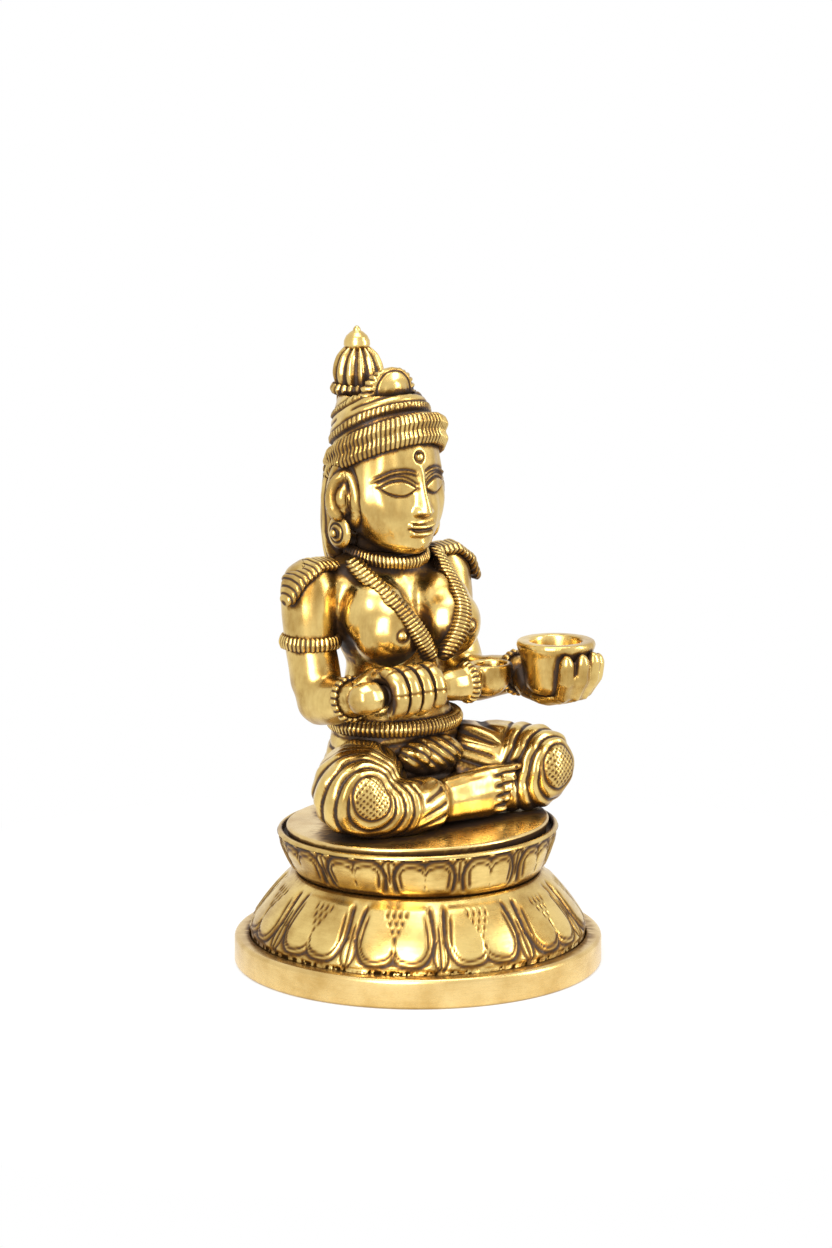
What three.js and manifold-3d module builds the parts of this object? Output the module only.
// A seated goddess idol in cast brass on a two-tier lotus pedestal, with a ladle and an offering bowl in its hands.
// Millimetres, +Z up. The idol faces -Y, so its own right hand is on the -X side. The origin is the centre of the
// face that the pedestal stands on. The castings are seated in each other and keep one clearance at every seat.
import * as THREE from "three";
import { mergeVertices } from "three/addons/utils/BufferGeometryUtils.js";
import Module from "manifold-3d";

const wasm = await Module();
wasm.setup();

// Clearance at every seat, which solder fills on the finished idol
const CLEARANCE = 0.3;

// Pedestal
const plinth = { radius: 43, height: 7, bore: 36, edgeRound: 0.8, rabbetDepth: 1.8, rabbetRadius: 39.4 };
const lowerLotus = { footRadius: 41.2, footRound: 1.1, waistRadius: 29, height: 14.6, wall: 3, deck: 3.2, spigotHole: 9 };
const upperLotus = { waistRadius: 28.6, rimHalfWidth: 33.8, rimHalfDepth: 31.2, height: 10.4, rimRound: 0.9 };
const seatPlate = { halfWidth: 32, halfDepth: 28.4, thickness: 3, sunk: 2, edgeRound: 0.7 };
const tie = { studRadius: 3, screwedIn: 2, washerRadius: 12, washerThickness: 1.2, nutAcrossFlats: 10, nutHeight: 4.5, tail: 1.5 };

// Body, measured from the top of the seat plate
const trunk = { back: 9, waistHeight: 23, waistHalfWidth: 14.8, waistHalfDepth: 13, shoulderHeight: 55.5, neckHeight: 62.5 };
const bust = { height: 45.5, apart: 8.8, forward: 0.5, radius: 8.2 };
const legs = { hipApart: 9, rightKneeOut: 24.4, leftKneeOut: 29, rightKneeForward: 6, leftKneeForward: 9, kneeHeight: 10.2, thighRadius: 10, shinRadius: 6.6, ankleRadius: 5 };
const arms = { shoulderApart: 20.4, shoulderBack: 15.5, upperRadius: 6.2, elbowHeight: 29.5, elbowBack: 9.5, foreRadius: 5.2, wristRadius: 4.1 };
const head = { halfWidth: 12.6, halfDepth: 13, back: 11.6, chinHeight: 62.6, crownHeight: 97 };

// What the hands hold
const ladle = { height: 33.6, forward: 11.8, shaftRadius: 2.4, knobRadius: 3.9, knobEnd: -29, fistCentre: -12.8, collarAt: 4.6, scoopEnd: 17.4, scoopRadius: 4.9, scoopDepth: 4.6 };
const bowl = { right: 24, forward: 21, base: 30.5, height: 12, rimRadius: 9.1, baseRadius: 6.2, recessRadius: 6.2, recessDepth: 4.8 };

const pedestalTop = plinth.height + CLEARANCE + lowerLotus.height + CLEARANCE + upperLotus.height;
const seatTop = pedestalTop - seatPlate.sunk + CLEARANCE + seatPlate.thickness;

const point = (x, y, z) => new THREE.Vector3(x, y, z);

// Solids

function solidOf(geometry) {
  const bare = geometry.clone();
  bare.deleteAttribute("normal");
  bare.deleteAttribute("uv");
  const merged = mergeVertices(bare, 1e-4);
  const mesh = new wasm.Mesh({
    numProp: 3,
    vertProperties: new Float32Array(merged.attributes.position.array),
    triVerts: new Uint32Array(merged.index.array),
  });
  return new wasm.Manifold(mesh);
}

function geometryOf(solid) {
  const mesh = solid.getMesh();
  const geometry = new THREE.BufferGeometry();
  geometry.setAttribute("position", new THREE.BufferAttribute(new Float32Array(mesh.vertProperties), 3));
  geometry.setIndex(new THREE.BufferAttribute(new Uint32Array(mesh.triVerts), 1));
  geometry.computeVertexNormals();
  return geometry;
}

const fuse = (...solids) => solids.flat().reduce((whole, next) => whole.add(next));

const cut = (solid, ...tools) => tools.flat().reduce((left, tool) => left.subtract(tool), solid);

// The largest body that a cut leaves, without the slivers that fall off
function mainBody(solid) {
  return solid.decompose().reduce((best, next) => (next.volume() > best.volume() ? next : best));
}

// A closed body through a stack of rings that all have the same number of points
function skin(rings) {
  const sides = rings[0].length;
  const positions = [];
  const index = [];
  rings.forEach((ring) => ring.forEach((p) => positions.push(p.x, p.y, p.z)));
  const middle = (ring) => ring.reduce((sum, p) => sum.add(p), point(0, 0, 0)).divideScalar(sides);
  const first = middle(rings[0]);
  const last = middle(rings[rings.length - 1]);
  positions.push(first.x, first.y, first.z, last.x, last.y, last.z);
  const firstAt = rings.length * sides;
  for (let r = 0; r + 1 < rings.length; r++) {
    for (let s = 0; s < sides; s++) {
      const a = r * sides + s;
      const b = r * sides + ((s + 1) % sides);
      index.push(a, b, a + sides, b, b + sides, a + sides);
    }
  }
  for (let s = 0; s < sides; s++) {
    const next = (s + 1) % sides;
    const top = (rings.length - 1) * sides;
    index.push(firstAt, next, s, firstAt + 1, top + s, top + next);
  }
  const geometry = new THREE.BufferGeometry();
  geometry.setAttribute("position", new THREE.BufferAttribute(new Float32Array(positions), 3));
  geometry.setIndex(index);
  const solid = solidOf(geometry);
  if (solid.volume() >= 0) return solid;
  for (let i = 0; i < index.length; i += 3) [index[i + 1], index[i + 2]] = [index[i + 2], index[i + 1]];
  geometry.setIndex(index);
  return solidOf(geometry);
}

// Values between rows of numbers, on a smooth curve through them
function smoothRows(rows, steps) {
  const out = [];
  for (let i = 0; i + 1 < rows.length; i++) {
    const before = rows[Math.max(i - 1, 0)];
    const after = rows[Math.min(i + 2, rows.length - 1)];
    for (let s = 0; s < steps; s++) {
      const t = s / steps;
      out.push(rows[i].map((value, k) => {
        const slopeA = (rows[i + 1][k] - before[k]) / 2;
        const slopeB = (after[k] - value) / 2;
        const rest = rows[i + 1][k] - value;
        return value + slopeA * t + (3 * rest - 2 * slopeA - slopeB) * t * t + (slopeA + slopeB - 2 * rest) * t ** 3;
      }));
    }
  }
  out.push(rows[rows.length - 1]);
  return out;
}

// Upright body from rows of [height, centre y, half width, half depth], rounded off at its ends
function column(rows, { sides = 28, steps = 3, grow = 0, x = 0, squareness = 1 } = {}) {
  const levels = smoothRows(rows, steps);
  const rings = levels.map(([z, y, halfWidth, halfDepth], i) => {
    const isEnd = i === 0 ? -1 : i === levels.length - 1 ? 1 : 0;
    return Array.from({ length: sides }, (_, s) => {
      const angle = (2 * Math.PI * s) / sides;
      const c = Math.sign(Math.cos(angle)) * Math.abs(Math.cos(angle)) ** squareness;
      const n = Math.sign(Math.sin(angle)) * Math.abs(Math.sin(angle)) ** squareness;
      return point(x + (halfWidth + grow) * c, y + (halfDepth + grow) * n, z + isEnd * grow);
    });
  });
  return skin(rings);
}

// Round-ended limb along a smooth line, from rows of [x, y, z, half breadth, half thickness]
function limb(rows, { sides = 14, steps = 4, grow = 0, over = point(0, 0, 1), roundness = 1, endSteps = 3 } = {}) {
  const stations = smoothRows(rows, steps);
  const at = stations.map(([x, y, z]) => point(x, y, z));
  const rings = [];
  const ringAt = (centre, along, breadth, thickness) => {
    const across = new THREE.Vector3().crossVectors(along, over).normalize();
    const up = new THREE.Vector3().crossVectors(across, along).normalize();
    return Array.from({ length: sides }, (_, s) => {
      const angle = (2 * Math.PI * s) / sides;
      return centre.clone()
        .addScaledVector(across, breadth * Math.cos(angle))
        .addScaledVector(up, thickness * Math.sin(angle));
    });
  };
  const tangent = (i) => at[Math.min(i + 1, at.length - 1)].clone().sub(at[Math.max(i - 1, 0)]).normalize();
  const cap = (i, way) => {
    const along = tangent(i);
    const [, , , breadth, thickness] = stations[i];
    const reach = (Math.min(breadth, thickness) + grow) * roundness;
    const made = [];
    for (let s = endSteps; s >= 1; s--) {
      const angle = (s / (endSteps + 0.35)) * (Math.PI / 2);
      const centre = at[i].clone().addScaledVector(along, way * reach * Math.sin(angle));
      made.push(ringAt(centre, along, (breadth + grow) * Math.cos(angle), (thickness + grow) * Math.cos(angle)));
    }
    return made;
  };
  rings.push(...cap(0, -1));
  stations.forEach(([, , , breadth, thickness], i) => rings.push(ringAt(at[i], tangent(i), breadth + grow, thickness + grow)));
  rings.push(...cap(stations.length - 1, 1).reverse());
  return skin(rings);
}

// Ellipsoid
function ball(centre, radii, { around = 12, rise = 8, turn = [0, 0, 0], grow = 0 } = {}) {
  const geometry = new THREE.SphereGeometry(1, around, rise);
  geometry.rotateX(Math.PI / 2);
  geometry.scale(radii[0] + grow, radii[1] + grow, radii[2] + grow);
  geometry.applyMatrix4(new THREE.Matrix4().makeRotationFromEuler(new THREE.Euler(...turn)));
  geometry.translate(centre.x, centre.y, centre.z);
  return solidOf(geometry);
}

// Revolved body about Z from [radius, height] pairs that start and end on the axis
function turned(profile, sides = 64) {
  const geometry = new THREE.LatheGeometry(profile.map(([r, z]) => new THREE.Vector2(r, z)), sides);
  geometry.rotateX(Math.PI / 2);
  const solid = solidOf(geometry);
  if (solid.volume() >= 0) return solid;
  const flipped = new THREE.LatheGeometry([...profile].reverse().map(([r, z]) => new THREE.Vector2(r, z)), sides);
  flipped.rotateX(Math.PI / 2);
  return solidOf(flipped);
}

function rod(from, to, radius, sides = 20) {
  const along = to.clone().sub(from);
  const geometry = new THREE.CylinderGeometry(radius, radius, along.length(), sides);
  const turn = new THREE.Quaternion().setFromUnitVectors(point(0, 1, 0), along.clone().normalize());
  geometry.applyQuaternion(turn);
  const middle = from.clone().add(to).multiplyScalar(0.5);
  geometry.translate(middle.x, middle.y, middle.z);
  return solidOf(geometry);
}

// A closed ring along a loop of points, with an elliptical section
function hoop(points, breadth, thickness, { sides = 8, over = point(0, 0, 1), grow = 0 } = {}) {
  const count = points.length;
  const rings = points.map((p, i) => {
    const along = points[(i + 1) % count].clone().sub(points[(i + count - 1) % count]).normalize();
    const across = new THREE.Vector3().crossVectors(along, over).normalize();
    const up = new THREE.Vector3().crossVectors(across, along).normalize();
    return Array.from({ length: sides }, (_, s) => {
      const angle = (2 * Math.PI * s) / sides;
      return p.clone()
        .addScaledVector(across, (thickness + grow) * Math.cos(angle))
        .addScaledVector(up, (breadth + grow) * Math.sin(angle));
    });
  });
  const positions = rings.flat().flatMap((p) => [p.x, p.y, p.z]);
  const index = [];
  for (let r = 0; r < count; r++) {
    for (let s = 0; s < sides; s++) {
      const a = r * sides + s;
      const b = r * sides + ((s + 1) % sides);
      const c = ((r + 1) % count) * sides + s;
      const d = ((r + 1) % count) * sides + ((s + 1) % sides);
      index.push(a, b, c, b, d, c);
    }
  }
  const geometry = new THREE.BufferGeometry();
  geometry.setAttribute("position", new THREE.BufferAttribute(new Float32Array(positions), 3));
  geometry.setIndex(index);
  const solid = solidOf(geometry);
  if (solid.volume() >= 0) return solid;
  for (let i = 0; i < index.length; i += 3) [index[i + 1], index[i + 2]] = [index[i + 2], index[i + 1]];
  geometry.setIndex(index);
  return solidOf(geometry);
}

// The same body mirrored to the idol's other side
function mirrored(solid) {
  return solid.mirror([1, 0, 0]);
}

// Pedestal

function plinthRing() {
  const { radius, height, bore, edgeRound, rabbetDepth, rabbetRadius } = plinth;
  const profile = [
    [bore, 0], [radius - edgeRound / 2, 0], [radius, edgeRound], [radius, height - edgeRound],
    [radius - edgeRound, height], [rabbetRadius, height], [rabbetRadius, height - rabbetDepth],
    [bore, height - rabbetDepth], [bore, 0],
  ];
  return turned(profile, 36);
}

// Outline of the petalled dome, from its foot to its waist
function domeOutline() {
  const { footRadius, footRound, waistRadius, height } = lowerLotus;
  const foot = plinth.height + CLEARANCE;
  const steps = 5;
  return Array.from({ length: steps + 1 }, (_, i) => {
    const t = i / steps;
    const radius = waistRadius + (footRadius - waistRadius) * (1 - t ** 1.15);
    return [radius - (i === 0 ? footRound : 0), foot + height * (1.2 * t - 0.2 * t * t)];
  });
}

function lowerLotusDome() {
  const { wall, deck, spigotHole } = lowerLotus;
  const outer = domeOutline();
  const foot = outer[0][1];
  const top = outer[outer.length - 1][1];
  const spigot = plinth.rabbetRadius - CLEARANCE;
  const spigotEnd = plinth.height - plinth.rabbetDepth + CLEARANCE;
  const inner = outer
    .map(([radius, z]) => [radius - wall * 1.1, z - wall * 0.25])
    .filter(([, z]) => z > foot && z < top - deck);
  const profile = [
    [spigot - wall, spigotEnd], [spigot, spigotEnd], [spigot, foot], ...outer,
    [spigotHole, top], [spigotHole, top - deck], [inner[inner.length - 1][0], top - deck],
    ...inner.reverse(), [spigot - wall, foot], [spigot - wall, spigotEnd],
  ];
  return turned(profile, 36);
}

// Rings between the round waist and the oval rim
function upperLotusBody() {
  const { waistRadius, rimHalfWidth, rimHalfDepth, height, rimRound } = upperLotus;
  const bottom = pedestalTop - height;
  const sides = 40;
  const ring = (halfWidth, halfDepth, z) => Array.from({ length: sides }, (_, s) => {
    const angle = (2 * Math.PI * s) / sides;
    return point(halfWidth * Math.cos(angle), halfDepth * Math.sin(angle), z);
  });
  const levels = [0, 0.06, 0.3, 0.55, 0.8, 0.93];
  const rings = levels.map((t) => {
    const swell = t < 0.06 ? 0 : t ** 0.8;
    const belly = 0.9 * Math.sin(Math.PI * t);
    return ring(
      waistRadius + (rimHalfWidth - waistRadius) * swell + belly,
      waistRadius + (rimHalfDepth - waistRadius) * swell + belly,
      bottom + height * t,
    );
  });
  rings.push(ring(rimHalfWidth - rimRound, rimHalfDepth - rimRound, pedestalTop));
  const body = skin(rings);
  const seat = seatPlateBody(CLEARANCE, 2 * seatPlate.thickness);
  const spigot = rod(
    point(0, 0, bottom - lowerLotus.deck + CLEARANCE),
    point(0, 0, bottom + 1),
    lowerLotus.spigotHole - CLEARANCE,
    32,
  );
  const stem = rod(point(0, 0, 0), point(0, 0, seatTop), tie.studRadius + CLEARANCE);
  return cut(fuse(body, spigot), seat, stem);
}

// Oval plate that carries the figure. room makes it larger, and raised lifts its top, to cut its seat
function seatPlateBody(room = 0, raised = 0) {
  const { halfWidth, halfDepth, thickness, edgeRound } = seatPlate;
  const bottom = seatTop - thickness;
  const sides = 36;
  const ring = (inset, z) => Array.from({ length: sides }, (_, s) => {
    const angle = (2 * Math.PI * s) / sides;
    return point((halfWidth + room - inset) * Math.cos(angle), (halfDepth + room - inset) * Math.sin(angle), z);
  });
  if (room > 0) return skin([ring(0, bottom - room), ring(0, seatTop + raised)]);
  const body = skin([
    ring(edgeRound, bottom), ring(0, bottom + edgeRound), ring(0, seatTop - edgeRound), ring(edgeRound, seatTop),
  ]);
  const hole = rod(
    point(0, 0, bottom - 1),
    point(0, 0, bottom + tie.screwedIn + CLEARANCE),
    tie.studRadius + CLEARANCE,
  );
  return cut(body, hole);
}

const deckUnderside = pedestalTop - upperLotus.height - CLEARANCE - lowerLotus.deck;
const washerTop = deckUnderside - CLEARANCE;
const nutTop = washerTop - tie.washerThickness - CLEARANCE;
const studEnd = nutTop - tie.nutHeight - tie.tail;

function tieStud() {
  return rod(point(0, 0, studEnd), point(0, 0, seatTop - seatPlate.thickness + tie.screwedIn), tie.studRadius);
}

function clampWasher() {
  const bottom = washerTop - tie.washerThickness;
  const disc = rod(point(0, 0, bottom), point(0, 0, washerTop), tie.washerRadius, 32);
  return cut(disc, rod(point(0, 0, bottom - 1), point(0, 0, washerTop + 1), tie.studRadius + CLEARANCE));
}

function clampNut() {
  const bottom = nutTop - tie.nutHeight;
  const cornerRadius = tie.nutAcrossFlats / Math.sqrt(3);
  const prism = rod(point(0, 0, bottom), point(0, 0, nutTop), cornerRadius, 6);
  return cut(prism, rod(point(0, 0, bottom - 1), point(0, 0, nutTop + 1), tie.studRadius + CLEARANCE));
}

// Lower body, in heights above the seat

function hipsBody(grow = 0) {
  const { back, waistHalfWidth, waistHalfDepth, waistHeight } = trunk;
  const rows = [
    [CLEARANCE - grow, back + 1.5, waistHalfWidth + 1, waistHalfDepth],
    [5, back + 1, waistHalfWidth + 3.4, waistHalfDepth + 1.6],
    [11, back + 0.4, waistHalfWidth + 3.2, waistHalfDepth + 1.4],
    [17, back, waistHalfWidth + 1.4, waistHalfDepth + 0.6],
    [waistHeight - 1 + grow, back - 0.4, waistHalfWidth, waistHalfDepth],
  ];
  return column(rows, { sides: 16, steps: 1, grow });
}

function thigh(side, grow = 0) {
  const { hipApart, kneeHeight, thighRadius } = legs;
  const kneeOut = side < 0 ? legs.rightKneeOut : legs.leftKneeOut;
  const kneeForward = side < 0 ? legs.rightKneeForward : legs.leftKneeForward;
  return fuse(
    limb([
      [side * hipApart, trunk.back - 3, kneeHeight + 1, thighRadius - 0.5, thighRadius - 0.8],
      [side * (hipApart + kneeOut) * 0.53, -0.5, kneeHeight + 0.6, thighRadius + 0.3, thighRadius - 0.2],
      [side * kneeOut, -kneeForward, kneeHeight, thighRadius - 0.6, thighRadius - 0.3],
    ], { grow, sides: 10, steps: 2, roundness: 0.9, endSteps: 2 }),
  );
}

// The seat plate's top cuts every leg flat, one clearance above it
function aboveSeat(solid) {
  const slab = new THREE.BoxGeometry(200, 200, 60);
  slab.translate(0, 0, CLEARANCE - 30);
  return cut(solid, solidOf(slab));
}

function rightShin(grow = 0) {
  const { rightKneeOut: kneeApart, rightKneeForward: kneeForward, shinRadius, ankleRadius } = legs;
  return limb([
    [-kneeApart + 1, -kneeForward - 1.2, 7.4, shinRadius + 0.9, shinRadius + 0.5],
    [-kneeApart * 0.55, -kneeForward - 4, 6.4, shinRadius, shinRadius],
    [-3.4, -kneeForward - 4.4, 6.2, ankleRadius + 0.4, ankleRadius + 1],
  ], { grow, sides: 10, steps: 2, roundness: 0.5, endSteps: 1 });
}

function leftShin(grow = 0) {
  const { leftKneeOut: kneeApart, leftKneeForward: kneeForward, shinRadius, ankleRadius } = legs;
  return limb([
    [kneeApart, -kneeForward - 1, 6.8, shinRadius + 0.4, shinRadius],
    [kneeApart * 0.55, -kneeForward + 3.4, 5.6, shinRadius - 0.4, shinRadius - 0.6],
    [3, -kneeForward + 5, 5, ankleRadius, ankleRadius],
  ], { grow, sides: 10, steps: 2, roundness: 0.5, endSteps: 1 });
}

// The foot lies on its outer edge with the toes towards the idol's left, the big toe on top
function rightFootBody(grow = 0) {
  const front = -legs.rightKneeForward - 5.2;
  const sole = limb([
    [-1.2, front + 0.6, 6.3, 3.4, 5.2],
    [5, front, 6.6, 3.2, 5.7],
    [11, front - 0.2, 6.8, 2.9, 6.1],
    [14.2, front - 0.2, 6.9, 2.5, 6],
  ], { grow, sides: 10, steps: 1, roundness: 0.6, endSteps: 1 });
  const toeHeights = [11.4, 8.5, 6.1, 3.9, 2.1];
  const toes = toeHeights.map((z, i) => {
    const length = 4.6 - i * 0.45;
    const thick = i === 0 ? 1.55 : 1.2 - i * 0.05;
    return limb([
      [14.6 - i * 0.5, front - 0.4, z, thick, thick],
      [14.6 - i * 0.5 + length, front - 1.1, z + 0.5, thick, thick],
    ], { grow, sides: 6, steps: 1, endSteps: 1 });
  });
  return fuse(sole, toes);
}

function hips() {
  const socket = rod(point(0, trunk.back, trunk.waistHeight - 8), point(0, trunk.back, 60), 5 + CLEARANCE);
  return cut(hipsBody(), socket);
}

function rightLeg() {
  const leg = aboveSeat(fuse(thigh(-1), rightShin()));
  return mainBody(cut(leg, hipsBody(CLEARANCE), rightFootBody(CLEARANCE)));
}

function leftLeg() {
  const leg = aboveSeat(fuse(thigh(1), leftShin()));
  return mainBody(cut(leg, hipsBody(CLEARANCE), rightFootBody(CLEARANCE), thigh(-1, CLEARANCE), rightShin(CLEARANCE)));
}

function rightFoot() {
  return mainBody(aboveSeat(rightFootBody()));
}

// Trunk

function trunkShell(grow = 0) {
  const { back, waistHeight, waistHalfWidth, waistHalfDepth, shoulderHeight, neckHeight } = trunk;
  const rows = [
    [waistHeight - 0.6, back - 0.4, waistHalfWidth - 0.2, waistHalfDepth - 0.2],
    [waistHeight + 6, back, waistHalfWidth - 2.2, waistHalfDepth - 1.8],
    [waistHeight + 13, back + 1, waistHalfWidth - 4, waistHalfDepth - 3.4],
    [shoulderHeight - 12.5, back + 2, 14, 10.6],
    [shoulderHeight - 6, back + 3.4, 17.2, 10.6],
    [shoulderHeight, back + 4.8, 18.6, 9.2],
    [shoulderHeight + 3.6, back + 5, 14.5, 7.8],
    [neckHeight - 0.4, back + 4.4, 8.6, 7.4],
  ];
  return column(rows, { sides: 16, steps: 1, grow });
}

function breast(side, grow = 0) {
  const { height, apart, forward, radius } = bust;
  return fuse(
    ball(point(side * apart, forward, height), [radius, radius, radius], { grow, around: 12, rise: 10 }),
    ball(point(side * (apart + 0.4), forward + 4, height + 3.5), [radius, radius, radius], { grow, around: 10, rise: 8 }),
  );
}

function torsoBody(grow = 0) {
  return fuse(trunkShell(grow), breast(-1, grow), breast(1, grow));
}

function torso() {
  const { back, waistHeight, neckHeight } = trunk;
  const spigot = rod(point(0, back, waistHeight - 8 + CLEARANCE), point(0, back, waistHeight + 3), 5);
  const neckSocket = rod(point(0, back + 4, neckHeight - 6), point(0, back + 4, 90), 4.5 + CLEARANCE);
  return cut(fuse(torsoBody(), spigot), neckSocket);
}

// Arms

const shoulderOf = (side) => point(side * arms.shoulderApart, arms.shoulderBack, trunk.shoulderHeight);
const elbowOf = (side) => point(side * (arms.shoulderApart + 0.8), arms.elbowBack, arms.elbowHeight);
const wristOf = { right: point(-22, -4, 32), left: point(24, -8.4, 33) };
const armletHeight = 41;

function upperArmBody(side, grow = 0) {
  const { upperRadius } = arms;
  const s = shoulderOf(side);
  const e = elbowOf(side);
  return limb([
    [s.x - side * 0.6, s.y, s.z - 0.5, upperRadius + 0.4, upperRadius + 0.5],
    [s.x, s.y - 0.8, s.z - 7, upperRadius + 0.1, upperRadius + 0.4],
    [s.x + side * 0.2, (s.y + e.y) / 2 + 1.4, armletHeight, upperRadius - 0.4, upperRadius - 0.2],
    [e.x, e.y + 1.4, e.z + 3.5, upperRadius - 0.3, upperRadius - 0.2],
  ], { grow, sides: 10, steps: 1, over: point(0, 1, 0), endSteps: 2 });
}

function forearmBody(side, grow = 0) {
  const { foreRadius, wristRadius, upperRadius } = arms;
  const e = elbowOf(side);
  const w = side < 0 ? wristOf.right : wristOf.left;
  return limb([
    [e.x, e.y + 0.4, e.z, upperRadius - 0.4, upperRadius - 0.2],
    [e.x + side * 0.2, e.y - 6, e.z + 0.6, foreRadius + 0.2, foreRadius + 0.2],
    [w.x, w.y, w.z, wristRadius, wristRadius],
  ], { grow, sides: 10, steps: 1, roundness: 0.85, endSteps: 2 });
}

function upperArm(side) {
  return mainBody(cut(upperArmBody(side), torsoBody(CLEARANCE), forearmCap(side, CLEARANCE)));
}

// The elbow half of the arm, below the armlet
function forearmCap(side, grow = 0) {
  const e = elbowOf(side);
  const joint = point(e.x, e.y + 3, armletHeight - 4);
  const band = rod(point(joint.x, joint.y, joint.z - 30), joint.clone().add(point(0, 0, grow)), 16, 16);
  return band;
}

function forearm(side) {
  const elbow = upperArmBody(side).intersect(forearmCap(side));
  const whole = fuse(forearmBody(side), elbow);
  return mainBody(cut(whole, torsoBody(CLEARANCE)));
}

function armlet(side) {
  const s = shoulderOf(side);
  const e = elbowOf(side);
  const { upperRadius } = arms;
  const centreY = (s.y + e.y) / 2 + 1.4;
  const rings = [1.6, -1.5].map((lift) => {
    const loop = Array.from({ length: 12 }, (_, i) => {
      const angle = (2 * Math.PI * i) / 12;
      return point(
        s.x + side * 0.2 + (upperRadius + 0.1) * Math.cos(angle),
        centreY + 0.04 * lift + (upperRadius + 0.3) * Math.sin(angle),
        armletHeight + lift,
      );
    });
    return hoop(loop, 1.7, 0.95, { sides: 6 });
  });
  return mainBody(cut(fuse(rings), upperArmBody(side, CLEARANCE), torsoBody(CLEARANCE), forearmCap(side, CLEARANCE)));
}

function bracelet(side) {
  const w = side < 0 ? wristOf.right : wristOf.left;
  const e = elbowOf(side);
  const along = w.clone().sub(e).normalize();
  const centre = w.clone().addScaledVector(along, -1.4);
  const across = new THREE.Vector3().crossVectors(along, point(0, 0, 1)).normalize();
  const up = new THREE.Vector3().crossVectors(across, along);
  const loop = Array.from({ length: 12 }, (_, i) => {
    const angle = (2 * Math.PI * i) / 12;
    return centre.clone()
      .addScaledVector(across, (arms.wristRadius + 0.45) * Math.cos(angle))
      .addScaledVector(up, (arms.wristRadius + 0.45) * Math.sin(angle));
  });
  const hand = side < 0 ? rightHandBody(CLEARANCE) : leftHandBody(CLEARANCE);
  return mainBody(cut(hoop(loop, 1.2, 0.85, { over: along, sides: 6 }), forearmBody(side, CLEARANCE), hand));
}

// Ladle, lying along X through the right fist

function ladleShaft(grow = 0) {
  const { height, forward, shaftRadius, knobRadius, knobEnd, collarAt } = ladle;
  const y = -forward;
  const rows = [
    [knobEnd + knobRadius, y, height, knobRadius - 0.1, knobRadius - 0.1],
    [knobEnd + 2 * knobRadius - 0.6, y, height, knobRadius - 0.5, knobRadius - 0.5],
    [knobEnd + 2 * knobRadius + 0.6, y, height, shaftRadius, shaftRadius],
    [collarAt - 9.4, y, height, shaftRadius, shaftRadius],
    [collarAt - 5, y, height, shaftRadius + 1, shaftRadius + 1.2],
    [collarAt, y, height, shaftRadius + 1.2, shaftRadius + 1.6],
  ];
  return limb(rows, { grow, sides: 10, steps: 1, endSteps: 2 });
}

function ladleBody() {
  const { height, forward, collarAt, scoopEnd, scoopRadius, scoopDepth, shaftRadius } = ladle;
  const middle = (collarAt + 1 + scoopEnd) / 2;
  const halfLength = (scoopEnd - collarAt - 1) / 2;
  const rim = height + 3.6;
  const outside = ball(point(middle, -forward, rim - 1.4), [halfLength, scoopRadius, scoopDepth + 1.6], { around: 14, rise: 10 });
  const inside = ball(point(middle + 0.4, -forward, rim), [halfLength - 1.7, scoopRadius - 1.1, scoopDepth], { around: 14, rise: 10 });
  const lid = new THREE.BoxGeometry(60, 40, 20);
  lid.translate(middle, -forward, rim + 10);
  const scoop = cut(outside, inside, solidOf(lid));
  const collarLoop = Array.from({ length: 12 }, (_, i) => {
    const angle = (2 * Math.PI * i) / 12;
    return point(
      collarAt + 0.4,
      -forward + (shaftRadius + 1.3) * Math.cos(angle),
      height + (shaftRadius + 1.6) * Math.sin(angle),
    );
  });
  const collar = hoop(collarLoop, 1.3, 0.8, { over: point(1, 0, 0), sides: 6 });
  return fuse(ladleShaft(), cut(scoop, rod(point(collarAt - 9, -forward, height), point(collarAt + 0.4, -forward, height), 9)), collar);
}

// The right hand, closed round the ladle from above and in front
function rightHandBody(grow = 0) {
  const { height, forward, shaftRadius, fistCentre } = ladle;
  const w = wristOf.right;
  const fingerRadius = 1.95;
  const wrap = shaftRadius + fingerRadius + CLEARANCE - 0.1;
  const spacing = 3.7;
  const fingers = [-1.5, -0.5, 0.5, 1.5].map((slot, i) => {
    const x = fistCentre + slot * spacing;
    const reach = i === 3 ? 215 : 235;
    const rows = [];
    for (let turn = 20; turn <= reach; turn += 43) {
      const angle = (turn * Math.PI) / 180;
      const r = fingerRadius * (turn > 190 ? 0.92 : 1);
      rows.push([x + 0.3 * Math.sin(angle), -forward + wrap * Math.cos(angle), height + wrap * Math.sin(angle), r, r]);
    }
    return limb(rows, { grow, sides: 6, steps: 1, over: point(1, 0, 0), endSteps: 1 });
  });
  const palm = limb([
    [w.x + 0.6, w.y - 1.4, w.z + 0.6, 3.8, 3.9],
    [w.x + 4.2, -forward + 5.9, height + 0.8, 3.1, 4.6],
    [fistCentre + 5.4, -forward + 5, height + 0.4, 2.4, 4.4],
  ], { grow, sides: 10, steps: 1, endSteps: 2 });
  const thumb = limb([
    [w.x + 3.4, -forward + 4.6, height + 2.6, 1.8, 1.8],
    [w.x + 3.2, -forward + 1.2, height + 4.2, 1.7, 1.7],
    [w.x + 4.6, -forward - 3.2, height + 2.9, 1.5, 1.5],
  ], { grow, sides: 6, steps: 1, endSteps: 1 });
  return fuse(palm, fingers, thumb);
}

function rightHand() {
  return mainBody(cut(rightHandBody(), ladleShaft(CLEARANCE), torsoBody(CLEARANCE), forearmBody(-1, CLEARANCE)));
}

// Bowl in the left hand

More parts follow.
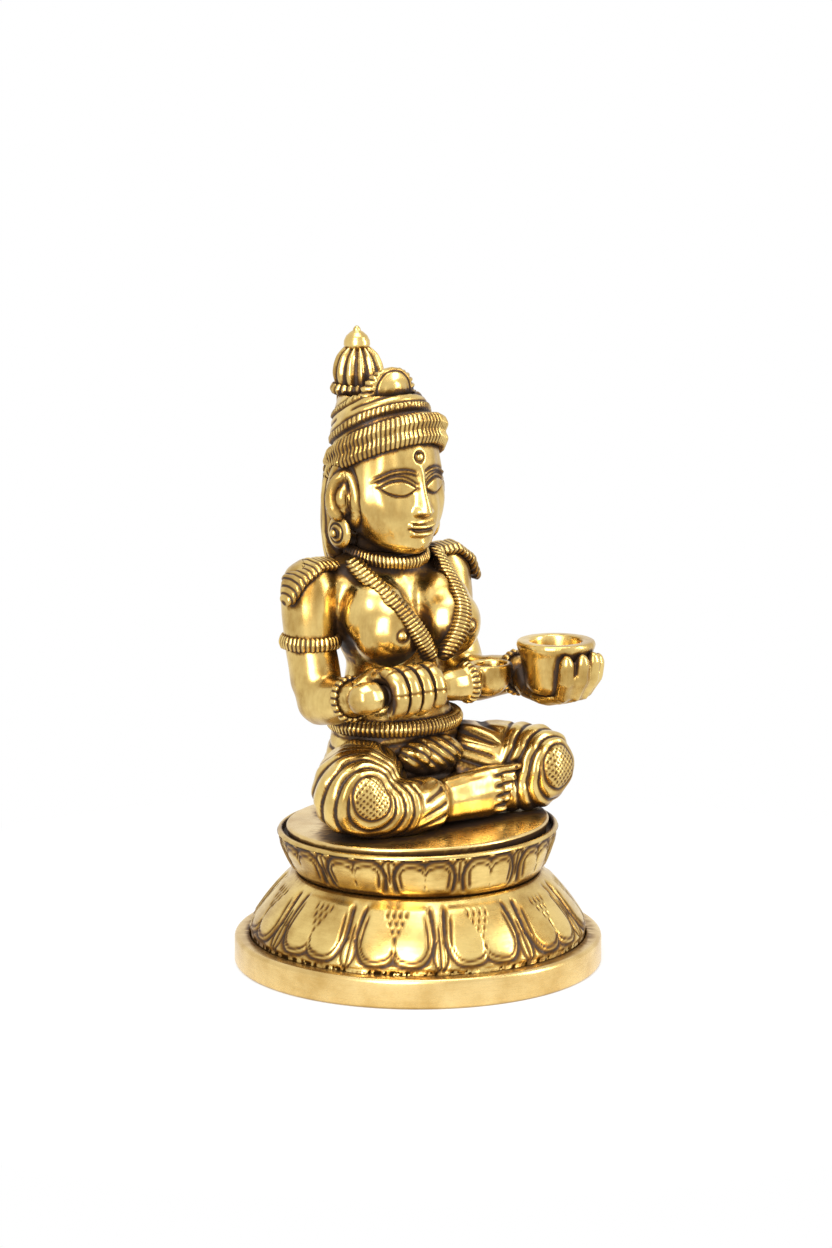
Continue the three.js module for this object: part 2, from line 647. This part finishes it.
function bowlOutline(grow = 0) {
  const { base, height, rimRadius, baseRadius } = bowl;
  return [
    [0, base - grow], [baseRadius - 0.8 + grow, base - grow], [baseRadius + 0.6 + grow, base + 1.6],
    [rimRadius - 1.6 + grow, base + height * 0.42], [rimRadius - 1 + grow, base + height * 0.66],
    [rimRadius - 0.9 + grow, base + height * 0.74], [rimRadius + grow, base + height - 1],
    [rimRadius - 0.3 + grow, base + height + grow], [0, base + height + grow],
  ];
}

function bowlAt(solid) {
  return solid.translate([bowl.right, -bowl.forward, 0]);
}

function offeringBowl() {
  const { base, height, recessRadius, recessDepth } = bowl;
  const top = base + height;
  const recess = turned([
    [0, top - recessDepth], [recessRadius - 1.8, top - recessDepth], [recessRadius - 0.6, top - recessDepth + 1.2],
    [recessRadius, top - 0.6], [recessRadius + 0.4, top + 1], [0, top + 1],
  ], 32);
  return bowlAt(cut(turned(bowlOutline(), 24), recess));
}

function leftHandBody(grow = 0) {
  const { right, forward, base, height, rimRadius } = bowl;
  const w = wristOf.left;
  const palm = limb([
    [w.x, w.y - 1.2, w.z - 0.2, 3.9, 3.6],
    [w.x + 0.2, w.y - 5, base - 0.4, 4.6, 2.6],
    [right, -forward + 1, base - 1.2, 5, 2.2],
    [right, -forward - 3.6, base - 0.2, 4.8, 2],
  ], { grow, sides: 10, steps: 1, endSteps: 2 });
  const fingerAngles = [-26, -2, 22, 46];
  const fingers = fingerAngles.map((degrees, i) => {
    const angle = ((degrees - 90) * Math.PI) / 180;
    const out = (r, z, thick) => [right + r * Math.cos(angle), -forward + r * Math.sin(angle), z, thick, thick];
    const tip = base + height * 0.7 - (i === 3 ? 1 : 0);
    return limb([
      out(3, base - 0.6, 1.9),
      out(rimRadius - 2.4, base + 0.6, 2),
      out(rimRadius - 0.1, base + height * 0.34, 1.95),
      out(rimRadius + 0.5, tip, 1.7),
    ], { grow, sides: 6, steps: 1, over: point(-Math.sin(angle), Math.cos(angle), 0), endSteps: 1 });
  });
  const thumb = limb([
    [w.x + 2, w.y - 3, w.z - 0.4, 2, 2],
    [right + rimRadius - 1.6, -forward + 6.4, base + 3.4, 1.9, 1.9],
    [right + rimRadius + 0.4, -forward + 2.4, base + 7, 1.7, 1.7],
  ], { grow, sides: 6, steps: 1, endSteps: 1 });
  return fuse(palm, fingers, thumb);
}

function leftHand() {
  const bowlRoom = bowlAt(turned(bowlOutline(CLEARANCE), 28));
  return mainBody(cut(leftHandBody(), bowlRoom, forearmBody(1, CLEARANCE)));
}

// Head

function headBody(grow = 0) {
  const { halfWidth, halfDepth, back, chinHeight, crownHeight } = head;
  const rows = [
    [chinHeight, back - 7, 3.6, 3.6],
    [chinHeight + 1.8, back - 5, 6.8, 7.4],
    [chinHeight + 6, back - 1.8, halfWidth - 2.6, halfDepth - 1.6],
    [chinHeight + 12, back - 0.4, halfWidth - 0.4, halfDepth - 0.2],
    [chinHeight + 18, back, halfWidth, halfDepth],
    [chinHeight + 24, back + 0.4, halfWidth - 0.6, halfDepth - 0.6],
    [crownHeight - 4.5, back + 1.6, halfWidth - 2.2, halfDepth - 1.8],
    [crownHeight + 0.4, back + 3.6, 7.4, 8.6],
  ];
  return column(rows, { sides: 16, steps: 1, grow });
}

function neckBody(grow = 0) {
  const { back, chinHeight } = head;
  return limb([
    [0, back + 1.8, chinHeight - 2.5, 7, 7],
    [0, back + 1, chinHeight + 6, 7.4, 7.4],
  ], { grow, sides: 12, steps: 1, over: point(0, 1, 0), roundness: 0.25, endSteps: 1 });
}

function headAndNeck(grow = 0) {
  const { halfWidth, back, chinHeight } = head;
  const ears = [-1, 1].map((side) => ball(
    point(side * (halfWidth + 0.2), back + 1.6, chinHeight + 14.5),
    [1.9, 3.4, 6.6],
    { grow, around: 10, rise: 8 },
  ));
  return fuse(headBody(grow), neckBody(grow), ears);
}

// Dress and jewellery, each wired round or soldered on the figure

// Loop of points on an ellipse that tilts down towards the back
function tiltedLoop(centre, halfWidth, halfDepth, drop, count) {
  return Array.from({ length: count }, (_, i) => {
    const angle = (2 * Math.PI * i) / count;
    const back = halfDepth * Math.sin(angle);
    return point(centre.x + halfWidth * Math.cos(angle), centre.y + back, centre.z - drop * back);
  });
}

function beltBody(grow = 0) {
  const { back, waistHeight, waistHalfWidth, waistHalfDepth } = trunk;
  const loop = tiltedLoop(point(0, back - 0.2, waistHeight - 0.4), waistHalfWidth + 0.5, waistHalfDepth + 0.4, 0, 24);
  return hoop(loop, 1.9, 1.5, { sides: 6, grow });
}

function belt() {
  return mainBody(cut(beltBody(), hipsBody(CLEARANCE), torsoBody(CLEARANCE)));
}

// The gathered cloth that hangs over the lap, below the belt
function sash() {
  const { back, waistHeight, waistHalfDepth } = trunk;
  const front = back - waistHalfDepth;
  const cloth = fuse(
    ball(point(0, front - 0.2, waistHeight - 7), [9.6, 4.2, 4.6]),
    ball(point(-4.4, front - 2.2, waistHeight - 6.2), [2.6, 2.6, 3], { around: 10, rise: 8 }),
  );
  return mainBody(cut(
    cloth, hipsBody(CLEARANCE), beltBody(CLEARANCE), thigh(-1, CLEARANCE), thigh(1, CLEARANCE), rightHandBody(CLEARANCE),
  ));
}

function headbandBody(grow = 0) {
  const { halfWidth, halfDepth, back, crownHeight } = head;
  const rows = [1.7, -1.7].map((lift) => hoop(
    tiltedLoop(point(0, back + 0.4, crownHeight - 11.6 + lift), halfWidth + 0.1, halfDepth + 0.2, 0.5, 16),
    1.9, 1.6, { sides: 6, grow },
  ));
  return fuse(rows);
}

function headband() {
  return mainBody(cut(headbandBody(), headAndNeck(CLEARANCE)));
}

// Ribbed fan that stands on the front of the crown
function crestBody(grow = 0) {
  const { back, crownHeight } = head;
  return fuse(
    ball(point(0, back + 0.4, crownHeight - 0.4), [8.2, 3, 8.6], { grow, around: 14, rise: 8, turn: [0.3, 0, 0] }),
    ball(point(0, back - 2.2, crownHeight + 2.2), [3.8, 1.8, 3.2], { grow, around: 10, rise: 8, turn: [0.3, 0, 0] }),
  );
}

function crest() {
  return mainBody(cut(crestBody(), headAndNeck(CLEARANCE), headbandBody(CLEARANCE), bunBody(CLEARANCE)));
}

const bunBack = head.back + 10;

function bunBody(grow = 0) {
  const { crownHeight } = head;
  return column([
    [crownHeight - 5, bunBack, 5.2, 5.2],
    [crownHeight + 1.5, bunBack, 5, 5],
    [crownHeight + 5.5, bunBack + 0.4, 5.8, 5.6],
    [crownHeight + 9.5, bunBack + 0.8, 4.6, 4.4],
    [crownHeight + 11.5, bunBack + 1, 2.2, 2.2],
  ], { sides: 12, steps: 2, grow });
}

function hairBun() {
  const { crownHeight } = head;
  const socket = rod(point(0, bunBack + 1, crownHeight + 8.5), point(0, bunBack + 1, crownHeight + 20), 1 + CLEARANCE, 10);
  return mainBody(cut(bunBody(), headAndNeck(CLEARANCE), socket));
}

function bunRing() {
  const loop = tiltedLoop(point(0, bunBack, head.crownHeight + 1.9), 5.7, 5.7, 0, 16);
  return mainBody(cut(hoop(loop, 1.2, 1.1, { sides: 6 }), bunBody(CLEARANCE), headAndNeck(CLEARANCE), crestBody(CLEARANCE)));
}

function finial() {
  const { crownHeight } = head;
  const foot = crownHeight + 11.5 + CLEARANCE;
  const cone = turned([
    [0, foot - 2.6], [1, foot - 2.6], [1, foot], [2.3, foot], [2.1, foot + 1.4], [1.1, foot + 3.6], [0.5, foot + 4.4], [0, foot + 4.6],
  ], 14);
  return cone.translate([0, bunBack + 1, 0]);
}

// Hair that falls behind the ears to the shoulders
function hairFall() {
  const { back, chinHeight } = head;
  const fall = column([
    [chinHeight - 3.6, back + 8.4, 10.6, 5.2],
    [chinHeight + 4, back + 6.6, 13, 7.2],
    [chinHeight + 12, back + 5.6, 13.4, 8.6],
    [chinHeight + 19, back + 5.4, 12.6, 8.8],
  ], { sides: 14, steps: 1 });
  return mainBody(cut(
    fall, chokerBody(CLEARANCE), headAndNeck(CLEARANCE), headbandBody(CLEARANCE), torsoBody(CLEARANCE),
    earringBody(-1, CLEARANCE), earringBody(1, CLEARANCE),
  ));
}

function earringBody(side, grow = 0) {
  const { halfWidth, back, chinHeight } = head;
  return fuse(
    ball(point(side * (halfWidth + 0.6), back + 0.8, chinHeight + 4.8), [1.3, 3.9, 3.9], { grow, around: 12, rise: 10 }),
    ball(point(side * (halfWidth + 1.6), back + 0.8, chinHeight + 4.8), [1.3, 1.5, 1.5], { grow, around: 8, rise: 6 }),
  );
}

function earring(side) {
  return mainBody(cut(earringBody(side), headAndNeck(CLEARANCE), torsoBody(CLEARANCE)));
}

function chokerBody(grow = 0) {
  const { back } = trunk;
  const rows = [0, 1].map((turn) => hoop(
    tiltedLoop(point(0, back + 2.8 - turn * 1.2, trunk.neckHeight - 0.6 - turn * 2.4), 9 + turn * 1.5, 9.2 + turn * 1.6, -0.18, 14),
    1.5, 1.2, { sides: 6, grow },
  ));
  return fuse(rows);
}

function choker() {
  return mainBody(cut(chokerBody(), torsoBody(CLEARANCE), headAndNeck(CLEARANCE)));
}

function garlandBody(side, grow = 0) {
  const { shoulderHeight, back } = trunk;
  return limb([
    [side * 12, back - 0.2, shoulderHeight + 5, 2.3, 1.6],
    [side * 11, back - 5.2, shoulderHeight + 1.6, 2.3, 1.7],
    [side * 8.8, -5.4, shoulderHeight - 5, 2.3, 1.7],
    [side * 5.6, -8, shoulderHeight - 10.6, 2.2, 1.7],
    [side * 2.4, -6.8, shoulderHeight - 15.4, 1.9, 2.2],
  ], { grow, sides: 8, steps: 3, over: point(0, -1, 0.4), endSteps: 1 });
}

function garland(side) {
  return mainBody(cut(garlandBody(side), torsoBody(CLEARANCE), chokerBody(CLEARANCE), headAndNeck(CLEARANCE)));
}

function epauletteBody(side, grow = 0) {
  const { shoulderHeight } = trunk;
  const y = arms.shoulderBack - 1.6;
  return limb([
    [side * 15.4, y, shoulderHeight + 4.6, 4.6, 1.5],
    [side * 20.6, y, shoulderHeight + 4.9, 5.2, 1.6],
    [side * 25.4, y - 0.4, shoulderHeight + 1.8, 4.2, 1.5],
    [side * 28, y - 1, shoulderHeight - 2.6, 2, 1.2],
  ], { grow, sides: 8, steps: 1, over: point(0, 0, 1), endSteps: 1 });
}

function epaulette(side) {
  return mainBody(cut(
    epauletteBody(side), torsoBody(CLEARANCE), upperArmBody(side, CLEARANCE), garlandBody(side, CLEARANCE), headAndNeck(CLEARANCE),
  ));
}

const parts = [];

function add(name, solid, colour = 0xb8934a, roughness = 0.34, lift = seatTop) {
  const material = new THREE.MeshStandardMaterial({ color: colour, roughness, metalness: 1 });
  const mesh = new THREE.Mesh(geometryOf(solid), material);
  mesh.name = name;
  mesh.position.z = lift;
  parts.push(mesh);
}

add("plinth_ring", plinthRing(), 0xb8934a, 0.3, 0);
add("lower_lotus", lowerLotusDome(), 0xb8934a, 0.34, 0);
add("upper_lotus", upperLotusBody(), 0xb8934a, 0.34, 0);
add("seat_plate", seatPlateBody(), 0xb8934a, 0.28, 0);
add("tie_stud", tieStud(), 0x8d8a82, 0.45, 0);
add("clamp_washer", clampWasher(), 0x8d8a82, 0.45, 0);
add("clamp_nut", clampNut(), 0x8d8a82, 0.45, 0);
add("hips", hips());
add("right_leg", rightLeg());
add("left_leg", leftLeg());
add("right_foot", rightFoot());
add("torso", torso());
for (const [side, word] of [[-1, "right"], [1, "left"]]) {
  add(`${word}_upper_arm`, upperArm(side));
  add(`${word}_forearm`, forearm(side));
  add(`${word}_armlet`, armlet(side));
  add(`${word}_bracelet`, bracelet(side));
}
add("ladle", ladleBody());
add("right_hand", rightHand());
add("offering_bowl", offeringBowl());
add("left_hand", leftHand());
add("head", mainBody(cut(headAndNeck(), torsoBody(CLEARANCE))));
add("belt", belt());
add("sash", sash());
add("headband", headband());
add("crest", crest());
add("hair_bun", hairBun());
add("bun_ring", bunRing());
add("finial", finial());
add("hair_fall", hairFall());
add("choker", choker());
for (const [side, word] of [[-1, "right"], [1, "left"]]) {
  add(`${word}_garland`, garland(side));
  add(`${word}_epaulette`, epaulette(side));
  add(`${word}_earring`, earring(side));
}

const idol = new THREE.Group();
idol.name = "goddess_idol";
parts.forEach((mesh) => idol.add(mesh));

export default idol;
